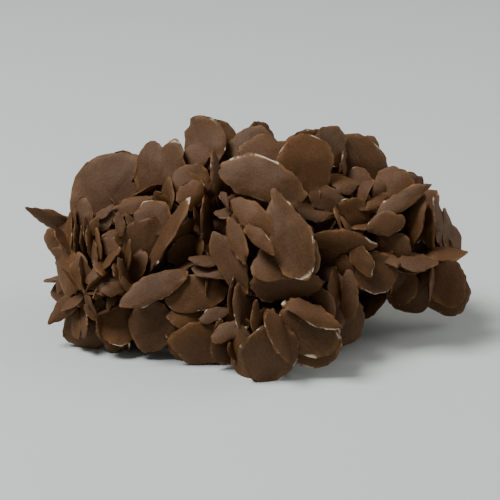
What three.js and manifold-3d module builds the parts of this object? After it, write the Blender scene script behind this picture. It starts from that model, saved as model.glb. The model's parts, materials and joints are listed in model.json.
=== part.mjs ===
// Gypsum sand rose: one intergrown cluster of lens-shaped crystals, about 200 mm long.
//
// The cluster is described crystal by crystal in a frame that leans back from the table, because
// that is how its best side is shown: r runs right, u up the face of the cluster, o out of it.
// FACE_LEAN turns that frame upright, and GROUND puts the table at z = 0.
import * as THREE from 'three';
import { mergeVertices } from 'three/addons/utils/BufferGeometryUtils.js';
import Module from 'manifold-3d';

// --- driving dimensions, in millimetres and degrees ---
const FACE_LEAN = 68;          // the crystal frame is turned back by this much about the x axis
const GROUND = 40.6;           // height of the crystal frame's origin above the table
const DRAW_IN = 1 / 800;       // the cluster draws in towards its front by this share per mm
const THICK_BASE = 1.2;        // thickness in the middle of the smallest crystal
const THICK_GAIN = 0.11;       // thickness gained for each mm of half length plus half width
const LARGE = 9;               // crystals with a longer half length than this count as large
const RIM_STEPS = [6, 8];      // straight edges round a small crystal and round a large one
const WORN = 0.05;             // unevenness of a crystal's outline, as a share of its radius
const SMALLEST = 7.6;           // crystals with a shorter half length than this are left out
const ROOT_INTO = 0.75;        // roots end this share of the way out from a swelling's middle
const ROOT_WIDTH = 0.35;       // half width of a root, as a share of its crystal's half length
const ROOT_STEPS = 4;          // a root is a plain diamond
const SHORTEST_ROOT = 9;       // a crystal nearer than this to the heart needs no root
const FINEST = 0.2;            // corners closer than this to the surface round them are dropped
const FOOT_CUT = 0;            // the tips that touch the table are worn flat at this height

// Each row is one crystal:
// [r, u, o, turn, tilt, roll, half length, half width, point]
// turn swings its face to the right, tilt lifts it, roll turns its length anticlockwise from the
// right, and point narrows the far end of its length, from 0 (round) to about 0.6 (a tongue).
const CRYSTALS = [
  // back row, from the big disc at the left to the knob at the right
  [-61, 24, -16, -12, 8, 60, 21, 20.5, 0.0],
  [-44.5, 36.5, -8, -25, 5, 96, 13.5, 9.8, 0.1],
  [-35.5, 38, -3, -38, 0, 82, 13.5, 10.2, 0.1],
  [-13.5, 48.5, -9, 15, 0, 112, 12.5, 9, 0.0],
  [-20.3, 49.5, -4, -10, 8, 98, 13, 10, 0.04],
  [-24, 42.5, -2, -10, 15, 20, 7.4, 6.4, 0.0],
  [0, 46, -4, -20, 12, 60, 12.5, 11.5, 0.1],
  [3, 48.5, -12, 20, -5, 100, 10.5, 9, 0.1],
  [8, 43.5, 4, 5, 25, -10, 13, 10, 0.1],
  [25, 47, -8, 15, -15, 28, 13, 8.5, 0.2],
  [25.5, 39, 15, 14, 2, -60, 14, 13.6, 0.04],
  [37, 47.5, 3, 30, 10, 40, 10.5, 9, 0.0],
  [51.5, 39.5, -7, 18, 3, -42, 15.5, 11, 0.0],
  [55, 48, -12, 0, 10, 80, 4.4, 4.2, 0.0],
  [65, 30.5, -4, -14, 12, -20, 10, 8, 0.0],
  [71.5, 28, -10, 25, -10, 20, 9, 8.5, 0.1],
  // the fine rosette at the upper right
  [49, 33, 4, -5, 20, 120, 6.4, 5.8, 0.0],
  [42.3, 40, 4, 82, 0, 90, 6, 5, 0.0],
  [41, 32.2, 8, 15, 42, -18, 8.4, 5, 0.1],
  [44, 28.6, 11, 10, 25, 22, 5.2, 3.4, 0.1],
  [51.5, 27, 11, -45, 12, 62, 8.5, 5, 0.4],
  [57.5, 27.5, 4, -15, 0, 60, 5, 5, 0.0],
  [58, 22.3, 12, 12, 38, 38, 7.7, 3.6, 0.3],
  [36.5, 23, 14, 12, 10, -26, 10.5, 6.6, 0.1],
  [30.5, 17.2, 15, 5, 30, -14, 12.8, 5.8, 0.3],
  [39.5, 15.5, 18, 70, 20, 62, 6.5, 4, 0.2],
  [44, 11, 17, 60, 30, -42, 5.5, 4, 0.1],
  [47.5, 16, 14, 16, -12, -50, 10, 7.6, 0.1],
  [70, 22.5, 17, -5, 15, 34, 15.5, 5.8, 0.7],
  [62.5, 12.6, 19, -5, -8, 12, 8.6, 5.6, 0.1],
  [76, 15, 12, -48, 10, 82, 13, 6.5, 0.2],
  [81.5, 10, 8, -62, 0, 97, 12, 6, 0.2],
  [86, 12, 0, 66, 5, 105, 13.5, 8, 0.2],
  [90, 8, -7, 68, 5, 108, 12, 8, 0.2],
  [92.5, 3, -11, 60, 0, 108, 8, 7, 0.1],
  // the spike at the right, and the shelf beside it
  [89.5, -2.3, 10, 10, 52, 5, 10.5, 6, 0.6],
  [76, -5.3, 18, 5, 45, -4, 9.5, 6.4, 0.25],
  [66.5, 0.5, 14, -25, -12, -45, 9.5, 8, 0.0],
  [64, -4, 17, -20, 50, -38, 8, 4, 0.3],
  // the lobe at the right, clear of the table
  [90.5, -15, -10, 12, 0, 100, 11.5, 9, 0.1],
  [89.5, -17, -16, 15, -5, 120, 13.5, 11.5, 0.0],
  [82.5, -14, -4, 72, 0, 65, 10, 6, 0.1],
  [73.5, -18.5, -14, -5, -15, -8, 13, 11, 0.0],
  [69, -15, -7, -25, -5, 80, 9.5, 7, 0.0],
  // front, right of the middle
  [57, -10.5, 18, 5, 3, 30, 10.8, 10.5, 0.0],
  [52, -4, 23, -15, 5, -65, 9.5, 6, 0.3],
  [43, 4, 22, 0, -34, -4, 16.5, 7.5, 0.4],
  [36, -3, 16, -10, -20, 20, 8, 6.8, 0.0],
  [42.5, -7, 18, -25, -10, 40, 5.8, 5.2, 0.0],
  [44.8, -20.5, 24, -22, 5, 92, 12.5, 5, 0.2],
  [45, -33, 12, 30, -15, 70, 11, 9, 0.0],
  [35, -24, 34, -20, 10, -55, 8.5, 4.4, 0.3],
  [38, -18, 22, 60, 0, 85, 11, 7, 0.1],
  // the middle: two broad plates with a fan of tongues beside them
  [5.8, 31.8, 28, -5, 14, -20, 22, 11.5, 0.15],
  [17.5, 7, 39, -2, 18, 106, 23, 11.5, 0.6],
  [14, -6, 38, -2, 20, 18, 14, 9, 0.1],
  [2, 14.5, 36, -12, 15, -38, 14, 6.4, 0.3],
  [-11.5, 22, 33, -30, 20, -50, 5.8, 2.4, 0.5],
  [-12, 16.2, 29, -10, 40, 185, 5.8, 3.6, 0.5],
  [-5.5, 4, 35, -35, 5, -64, 12.5, 5.4, 0.25],
  [4.6, 4.6, 43, -28, 8, -38, 11, 4.2, 0.3],
  [-8.8, -6, 31, -25, 0, -61, 16, 7.4, 0.15],
  [20, -3, 34, 0, 5, 60, 12, 11.5, 0.0],
  [16.5, -15.5, 35, 3, -28, 2, 17.5, 9, 0.1],
  // upper left of the middle, round the standing blades
  [-26.5, 31, 5, 0, 12, 40, 9.4, 8.4, 0.0],
  [-27, 24.5, 9, 10, 5, 60, 7, 6, 0.0],
  [-37, 25, 5, -58, 5, 92, 9, 6.5, 0.1],
  [-15.3, 33, 10, 74, 5, 88, 14, 8, 0.1],
  [-19.3, 11, 14, 70, 5, 95, 15, 8, 0.1],
  [-22, 1, 18, -65, 0, 95, 6, 4.5, 0.1],
  [-20, -4.5, 25, 10, 52, 170, 8, 4, 0.4],
  [-17, -9.5, 25, 0, 40, -18, 9.5, 5.4, 0.2],
  [-18.5, -16, 22, 72, 0, 108, 6, 5, 0.2],
  [-27, 0, 8, 20, -5, 20, 10, 8, 0.0],
  // the leaning blade and its neighbours
  [-39, 4.5, 14, -68, 20, 53, 26, 10, 0.2],
  [-47, 2, 12, 12, -12, 50, 12.5, 12, 0.0],
  [-44.5, 14, 11, -5, 15, 30, 9, 8.4, 0.0],
  [-50.5, 20.5, 3, 0, 25, 10, 13, 5, 0.1],
  [-43, -17, 25, -5, 20, 28, 17.5, 7, 0.15],
  // the left end, a crowd of thin standing crystals
  [-75, 16.5, 8, -22, 5, 97, 9, 4.8, 0.0],
  [-91.5, 14.5, 2, -10, -35, 152, 11, 5.5, 0.8],
  [-89, 4, -5, -38, -5, 160, 8.5, 6.5, 0.1],
  [-83, -7, 5, -48, 0, 100, 15, 9, 0.15],
  [-86.5, -15.5, -4, -30, 0, 80, 5.5, 3.2, 0.1],
  [-84.5, -27, 6, -15, 5, 226, 10.5, 6, 0.85],
  [-77, -8.5, 15, -15, 5, 95, 8.5, 5.5, 0.1],
  [-81.5, 9, 9, -70, 0, 92, 8.5, 4, 0.3],
  [-78.3, 5, 11, 65, 0, 95, 7.5, 4, 0.2],
  [-75, 4.5, 12, 70, 0, 98, 7, 4, 0.2],
  [-71.8, 4, 13, 70, 5, 95, 8, 4, 0.2],
  [-68.3, 2, 14, -72, 0, 93, 9, 4.5, 0.2],
  [-67, 13.5, 6, -10, 20, 40, 6.5, 5.5, 0.0],
  [-59, 12, 15, -25, 10, 97, 7, 3, 0.5],
  [-60.5, 5, 11, 0, 35, 0, 6.5, 5.5, 0.2],
  [-67, -6, 16, 60, 40, 44, 9, 5, 0.2],
  [-65, -13, 17, 0, 32, 15, 8.5, 7, 0.1],
  [-58, -11, 22, 55, 10, 106, 9, 4, 0.4],
  [-62, -17.5, 21, 10, 30, 10, 6, 4, 0.2],
  // lower left, standing on the table
  [-71, -25, 15, -10, 0, 80, 6.5, 5.5, 0.1],
  [-79, -31, 4, -62, 5, 112, 11, 6, 0.1],
  [-76, -32, 8, -66, 5, 112, 10.5, 6, 0.1],
  [-73, -34, 4, -12, -12, 30, 13, 10.5, 0.0],
  [-67.5, -31, 13, 72, 0, 80, 10, 6, 0.1],
  [-60, -34, 14, 8, 6, 88, 11, 9, 0.1],
  [-60, -37, 8, 5, -12, 10, 10, 9.6, 0.0],
  [-44.5, -34.5, 18, -8, -12, 75, 12.5, 11, 0.0],
  // lower front, left of the foot
  [-25, -20, 23, 0, 8, 8, 15.5, 9.5, 0.1],
  [-25.5, -31, 22, 8, 8, -5, 12.5, 6.5, 0.1],
  [-15, -29.5, 25, 0, 25, 25, 8, 4, 0.3],
  [-9, -36.8, 29, -5, 20, 28, 10.5, 4.6, 0.2],
  [-30, -40.5, 18, -12, -15, 60, 9.5, 8.5, 0.0],
  [-21, -42.5, 22, 0, -18, 0, 15, 10, 0.0],
  [-12, -44, 24, 28, -10, 90, 9, 7, 0.0],
  // the front foot
  [9, -47.5, 38, 4, -20, 75, 15.4, 13.8, 0.0],
  [-3, -46.5, 30, -35, -5, 92, 13, 8, 0.1],
  [-7, -45, 27, 65, 0, 92, 7, 6, 0.1],
  [13, -39.5, 43, 48, 0, -58, 16, 6.5, 0.3],
  [27, -37, 37, 0, -3, -40, 15, 12.6, 0.0],
  [29, -41, 31, 5, -8, 30, 14, 13, 0.0],
  [28.5, -30, 41, 5, 22, -27, 15, 6.4, 0.3],
  [3.5, -31, 40, 35, 5, -88, 9.5, 3.2, 0.5],
  [-4.5, -25, 37, 25, 5, -86, 10.5, 3.6, 0.4],
  [-7.5, -22, 33, 70, 0, 88, 9, 5, 0.1],
  // three upright plates behind, which the cluster also stands on
  [-50, -20, -27, 35, -22, 88, 15, 13, 0.0],
  [0, -17, -33, 5, -22, 95, 15, 12, 0.0],
  [34, -20, -27, -30, -22, 92, 15, 12, 0.0],
];

// The heart: the massive middle of the cluster, which every crystal is rooted in. It is a few
// rounded swellings run together, each [r, u, o, half length, half height, half depth].
const HEART = [
  [-60, -4, -20, 28, 25, 17],
  [-74, 2, -16, 14, 16, 12],
  [-46, -24, -8, 22, 16, 14],
  [-20, 0, -14, 34, 34, 22],
  [-22, 24, -20, 24, 18, 12],
  [-22, -30, 0, 19, 14, 12],
  [-47, 22, -22, 18, 14, 10],
  [16, -4, -6, 30, 32, 25],
  [8, 22, -4, 22, 16, 14],
  [20, 28, -15, 32, 17, 14],
  [12, -32, 10, 20, 17, 12],
  [48, 4, -14, 32, 23, 19],
  [66, 12, -12, 17, 13, 12],
  [74, 0, -18, 18, 14, 13],
  [-48, -8, -18, 32, 22, 18],
  [0, -11, -14, 50, 24, 22],
  [46, -6, -16, 34, 20, 18],
];

// The far side and the underside carry petals of the same kind, set by rule and evenly spaced over
// each swelling of the heart: the distance between them, their half length, and the share of it that
// their middle stands out of the heart.
const FAR = { spacing: 19, size: 16, stand: 0.4 };
const END_LIMIT = 0.72;        // none stand straight out of the ends,
const TOP_LIMIT = 0.8;         // nor out of the top, where they would show above the face
const CLEARANCE = 9;           // none is set lower than this above the table
const UNDERCUT_FROM = 45;      // from here to the right the cluster rises clear of the table
const UNDERCUT_RISE = 0.7;     // how much the clearance grows for each mm further right

const rad = THREE.MathUtils.degToRad;

/** Share by which the outline of crystal k differs from an oval at angle a. */
function outline(a, k) {
  return 1 + WORN * (Math.sin(2 * a + 1.7 * k) + 0.7 * Math.sin(3 * a + 2.9 * k)) / 1.7;
}

/** Thickness in the middle of a crystal of a given size. */
function thickness(halfLength, halfWidth) {
  return THICK_BASE + THICK_GAIN * (halfLength + halfWidth);
}

/** A lens lying in the xy plane: rounded outline, thin sharp rim, thickest in the middle. */
function lens(halfLength, halfWidth, point, k, steps = RIM_STEPS[halfLength > LARGE ? 1 : 0]) {
  const half = thickness(halfLength, halfWidth) / 2;
  const profile = [new THREE.Vector2(0, -half), new THREE.Vector2(1, 0), new THREE.Vector2(0, half)];
  const shape = new THREE.LatheGeometry(profile, steps);
  shape.rotateX(Math.PI / 2);
  const at = shape.attributes.position;
  for (let i = 0; i < at.count; i += 1) {
    const x = at.getX(i);
    const y = at.getY(i);
    const grow = outline(Math.atan2(y, x), k);
    const narrow = 1 - point * ((1 + x) / 2) ** 2;
    at.setXY(i, x * grow * halfLength, y * grow * narrow * halfWidth);
  }
  return shape;
}

/** One crystal as a mesh, placed and turned as its row says. */
function crystal(row, k) {
  const [r, u, o, turn, tilt, roll, halfLength, halfWidth, point] = row;
  const near = 1 - o * DRAW_IN;
  const mesh = new THREE.Mesh(lens(halfLength * near, halfWidth * near, point, k));
  mesh.position.set(r * near, u * near, o);
  mesh.rotation.set(rad(-tilt), rad(turn), rad(roll), 'YXZ');
  return mesh;
}

/** The place in the heart where a point's root should end: on the way to the nearest swelling. */
function rootEnd(point) {
  let nearest = null;
  for (const [r, u, o, a, b, c] of HEART) {
    const middle = new THREE.Vector3(r, u, o);
    const away = point.clone().sub(middle);
    const share = Math.hypot(away.x / a, away.y / b, away.z / c);
    const end = middle.addScaledVector(away, ROOT_INTO / share);
    if (share < 1) return null;
    if (!nearest || end.distanceTo(point) < nearest.distanceTo(point)) nearest = end;
  }
  return nearest;
}

/** The older crystal that crosses behind a crystal and carries it, or null where none is needed. */
function carrier(mesh, halfLength, k) {
  const start = mesh.position;
  const end = rootEnd(start);
  if (!end || end.distanceTo(start) < SHORTEST_ROOT) return null;
  const along = end.clone().sub(start).normalize();
  const length = new THREE.Vector3(1, 0, 0).applyEuler(mesh.rotation);
  const across = length.addScaledVector(along, -length.dot(along)).normalize();
  const half = end.distanceTo(start) / 2;
  const root = new THREE.Mesh(lens(half, ROOT_WIDTH * halfLength, 0, k, ROOT_STEPS));
  root.applyMatrix4(new THREE.Matrix4().makeBasis(along, across, along.clone().cross(across)));
  root.position.copy(start).add(end).divideScalar(2);
  return root;
}

/** One swelling of the heart. */
function swelling([r, u, o, a, b, c]) {
  const mesh = new THREE.Mesh(new THREE.IcosahedronGeometry(1, 1));
  mesh.position.set(r, u, o);
  mesh.scale.set(a, b, c);
  return mesh;
}

/** True where a point lies inside a swelling other than number s. */
function buried(p, s) {
  return HEART.some(([r, u, o, a, b, c], i) => (
    i !== s && ((p.x - r) / a) ** 2 + ((p.y - u) / b) ** 2 + ((p.z - o) / c) ** 2 < 1
  ));
}

/** One crystal standing out of swelling s at a root, leaning by its number k. */
function petal(root, out, set, k) {
  const side = new THREE.Vector3(Math.cos(2.2 * k), Math.sin(2.2 * k), 0).cross(out).normalize();
  const flat = side.addScaledVector(out, 0.6 * Math.sin(1.9 * k)).normalize();
  const along = out.clone().addScaledVector(flat, -out.dot(flat)).normalize();
  const across = flat.clone().cross(along);
  const shorter = 1 - 0.4 * Math.max(Math.abs(out.x), out.y, 0);
  const half = set.size * shorter * (1 + 0.22 * Math.sin(2.7 * k + 1));
  const mesh = new THREE.Mesh(lens(half, half * (0.82 + 0.1 * Math.sin(3.1 * k)), 0.1, k));
  mesh.applyMatrix4(new THREE.Matrix4().makeBasis(along, across, flat));
  mesh.position.copy(root).addScaledVector(out, set.stand * half);
  return mesh;
}

/** The crystals of the far side, set by rule over each swelling of the heart. */
function setByRule(set) {
  const petals = [];
  HEART.forEach(([r, u, o, a, b, c], s) => {
    const middle = new THREE.Vector3(r, u, o);
    const size = new THREE.Vector3(a, b, c);
    const count = Math.round((4 * Math.PI * (a * b + b * c + c * a)) / 3 / set.spacing ** 2);
    for (let i = 0; i < count; i += 1) {
      const level = 1 - (2 * i + 1) / count;
      const round = 2.4 * i + s;
      const ring = Math.sqrt(1 - level ** 2);
      const dir = new THREE.Vector3(ring * Math.cos(round), level, ring * Math.sin(round));
      const root = dir.clone().multiply(size).add(middle);
      const out = dir.divide(size).normalize();
      const lean = rad(FACE_LEAN);
      const height = GROUND + root.y * Math.sin(lean) + root.z * Math.cos(lean);
      const lowest = CLEARANCE + UNDERCUT_RISE * Math.max(0, root.x - UNDERCUT_FROM);
      const ends = Math.abs(out.x) > END_LIMIT || out.y > TOP_LIMIT;
      if (buried(root, s) || ends || out.z > -0.1 || height < lowest) continue;
      petals.push(petal(root, out, set, petals.length + 1));
    }
  });
  return petals;
}

/** A mesh's triangles, in the place where its groups put it, as a solid for joining. */
function solid(wasm, mesh) {
  const shape = mesh.geometry.clone();
  shape.deleteAttribute('normal');
  shape.deleteAttribute('uv');
  shape.applyMatrix4(mesh.matrixWorld);
  const merged = mergeVertices(shape, 1e-4);
  const index = merged.index.array;
  const kept = [];
  for (let i = 0; i < index.length; i += 3) {
    const [a, b, c] = [index[i], index[i + 1], index[i + 2]];
    if (a !== b && b !== c && c !== a) kept.push(a, b, c);
  }
  return new wasm.Manifold(new wasm.Mesh({
    numProp: 3,
    vertProperties: new Float32Array(merged.attributes.position.array),
    triVerts: new Uint32Array(kept),
  }));
}

/** The triangles of a joined solid as a three.js geometry. */
function geometryOf(body) {
  const mesh = body.getMesh();
  const shape = new THREE.BufferGeometry();
  shape.setAttribute('position', new THREE.BufferAttribute(new Float32Array(mesh.vertProperties), 3));
  shape.setIndex(new THREE.BufferAttribute(new Uint32Array(mesh.triVerts), 1));
  shape.computeVertexNormals();
  return shape;
}

/** The largest closed surface of a body, without the pockets sealed inside it. */
function largest(body) {
  return body.decompose().sort((p, q) => q.volume() - p.volume())[0];
}

const wasm = await Module();
wasm.setup();

// Stand the crystal frame up on the table.
const cluster = new THREE.Group();
const face = new THREE.Group();
face.rotation.x = rad(FACE_LEAN);
face.position.z = GROUND;
CRYSTALS.forEach((row, k) => {
  if (row[6] < SMALLEST) return;
  const mesh = crystal(row, k);
  const root = carrier(mesh, row[6], k);
  face.add(mesh);
  if (root) face.add(root);
});
HEART.forEach((row) => face.add(swelling(row)));
face.add(...setByRule(FAR));
cluster.add(face);
cluster.updateMatrixWorld(true);

// Grow them together into one body.
const pieces = [];
cluster.traverse((item) => {
  if (item.isMesh) pieces.push(solid(wasm, item));
});
let rose = wasm.Manifold.union(pieces);

// Wear the resting tips flat on the table.
const below = new THREE.Mesh(new THREE.BoxGeometry(400, 300, 100));
below.position.z = FOOT_CUT - 50;
below.updateMatrixWorld(true);
rose = rose.subtract(solid(wasm, below));

// Keep the outer skin only: small pockets sealed inside are filled with crystal.
rose = largest(rose);
rose = largest(rose.simplify(FINEST));

// Set the origin at the middle of the footprint, on the table.
const shape = geometryOf(rose);
shape.computeBoundingBox();
const box = shape.boundingBox;
shape.translate(-(box.min.x + box.max.x) / 2, -(box.min.y + box.max.y) / 2, -box.min.z);

const gypsum = new THREE.MeshStandardMaterial({ color: 0x5f422a, roughness: 0.55, metalness: 0 });
const sandRose = new THREE.Mesh(shape, gypsum);
sandRose.name = 'sand_rose';

const object = new THREE.Group();
object.add(sandRose);

export default object;
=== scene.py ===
# %% [markdown]
# # A gypsum sand rose
#
# A sand rose is a cluster of lens-shaped gypsum crystals that grew through one another in wet sand.
# Each crystal is a round or tongue-shaped blade: thin at the rim, a few millimetres thick in the
# middle, brown from the sand inside it, and worn pale where its rim has been knocked.
#
# The way to make one in Blender is the way it grew. One blade is modelled as a blank, it is copied
# and turned over and over, and at the end all the copies are joined into one stone. The finished
# stone is then wavy, chipped and coloured as a whole.
#
# First the fixed frame is loaded. It holds the plain solid that the finished stone stands for.

# %% Load the frame
import json
import math
import bpy
from mathutils import Matrix, Vector

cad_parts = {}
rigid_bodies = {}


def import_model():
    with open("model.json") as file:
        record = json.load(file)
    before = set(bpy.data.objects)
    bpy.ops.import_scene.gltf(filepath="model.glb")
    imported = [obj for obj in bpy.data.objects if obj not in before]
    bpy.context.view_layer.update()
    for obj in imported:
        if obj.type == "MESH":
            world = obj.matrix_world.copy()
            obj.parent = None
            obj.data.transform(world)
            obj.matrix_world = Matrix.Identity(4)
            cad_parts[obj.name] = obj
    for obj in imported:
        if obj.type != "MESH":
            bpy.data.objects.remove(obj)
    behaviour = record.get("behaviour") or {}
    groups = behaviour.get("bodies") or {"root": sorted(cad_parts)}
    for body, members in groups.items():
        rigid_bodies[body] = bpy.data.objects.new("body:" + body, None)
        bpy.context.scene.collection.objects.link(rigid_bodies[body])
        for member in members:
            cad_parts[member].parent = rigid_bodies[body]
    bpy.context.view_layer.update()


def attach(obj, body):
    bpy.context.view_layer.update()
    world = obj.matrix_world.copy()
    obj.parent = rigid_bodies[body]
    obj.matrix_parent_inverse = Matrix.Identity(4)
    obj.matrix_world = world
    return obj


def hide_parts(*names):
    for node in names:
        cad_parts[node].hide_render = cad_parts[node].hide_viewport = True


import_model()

# %% [markdown]
# ## Where things go
#
# The blades are listed in a frame of their own that leans back from the table: r runs right, u runs
# up the face of the cluster and o comes out of it, all in millimetres. A rotation stands that frame
# up, and a small shift puts the middle of the footprint at the world's origin.
#
# The places and sizes in the list are those that show from the front, where what stands nearer looks
# larger. So a blade is drawn in and made smaller by `DRAW_IN` for each millimetre that it stands out.

# %% The leaning frame
MM = 0.001
FACE_LEAN = 68          # degrees from the table
GROUND = 40.6           # height of the leaning frame's origin above the table
FOOTPRINT_SHIFT = (-1.10, -1.04)
DRAW_IN = 1 / 800
STAND = (
    Matrix.Translation(Vector((FOOTPRINT_SHIFT[0], FOOTPRINT_SHIFT[1], GROUND)) * MM)
    @ Matrix.Rotation(math.radians(FACE_LEAN), 4, "X")
)


def to_world(r, u, o):
    """A point of the leaning frame, in millimetres, as a world point in metres."""
    return STAND @ (Vector((r, u, o)) * MM)


print("the leaning frame's origin stands at", to_world(0, 0, 0))

# %% [markdown]
# ## The camera
#
# The camera looks at the face of the cluster from a little above the table, from far enough off that
# the blades keep their shapes. It comes first, so that every later step can be looked at.

# %% Camera
VIEW_DISTANCE = 800
VIEW_WIDTH = 227.3      # how much of the leaning frame's r axis fits in the view
SENSOR = 36

camera_data = bpy.data.cameras.new("view")
camera = bpy.data.objects.new("view", camera_data)
bpy.context.scene.collection.objects.link(camera)
camera.location = to_world(0, 0, VIEW_DISTANCE)
camera.rotation_euler = (math.radians(FACE_LEAN), 0, 0)
camera_data.sensor_width = SENSOR
camera_data.lens = SENSOR * VIEW_DISTANCE / VIEW_WIDTH
camera_data.clip_start = 0.01
camera_data.clip_end = 20
bpy.context.scene.camera = camera
print("camera at", [round(x, 3) for x in camera.location], "lens", round(camera_data.lens, 1))
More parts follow.
